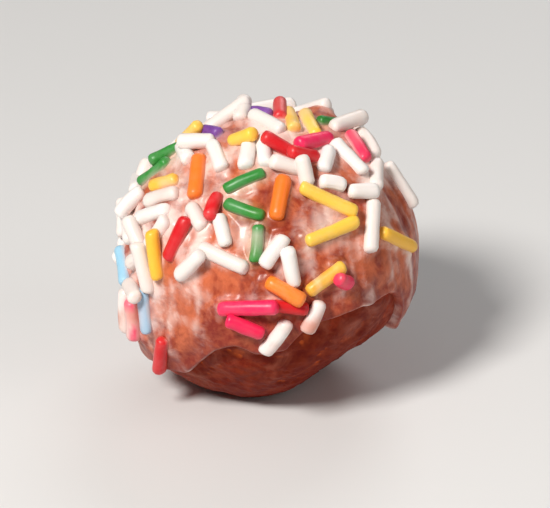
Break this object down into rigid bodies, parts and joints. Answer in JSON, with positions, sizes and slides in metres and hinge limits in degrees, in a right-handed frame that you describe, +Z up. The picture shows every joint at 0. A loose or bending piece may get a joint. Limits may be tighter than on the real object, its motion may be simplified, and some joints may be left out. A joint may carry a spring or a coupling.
{
  "type": "doughnut hole",
  "caption": "Bite-sized ball of fried dough in a thin milky sugar glaze that ends in uneven runs, with rainbow sprinkles heaped over its top and a bare browned crust below",
  "frame": {"origin": "middle of the flat spot on the underside, on which the ball rests", "axes": "+Z up, out of the flat spot; -Y is the front, the side the picture was taken from; +X is to the right of a viewer who faces the front"},
  "size_m": [0.0319, 0.0336, 0.0302],
  "materials": {
    "crust": "golden-brown fried crust, faintly oily, with fine pores and small crags",
    "glaze": "satin sugar glaze, milky white where it is thick and tan where the crust shows through",
    "sprinkles": "waxy sugar rods in white, yellow, green, orange, red, pink, light blue and purple"
  },
  "bodies": {
    "root": {"dough": "crust", "glaze": "glaze"}
  },
  "joints": []
}
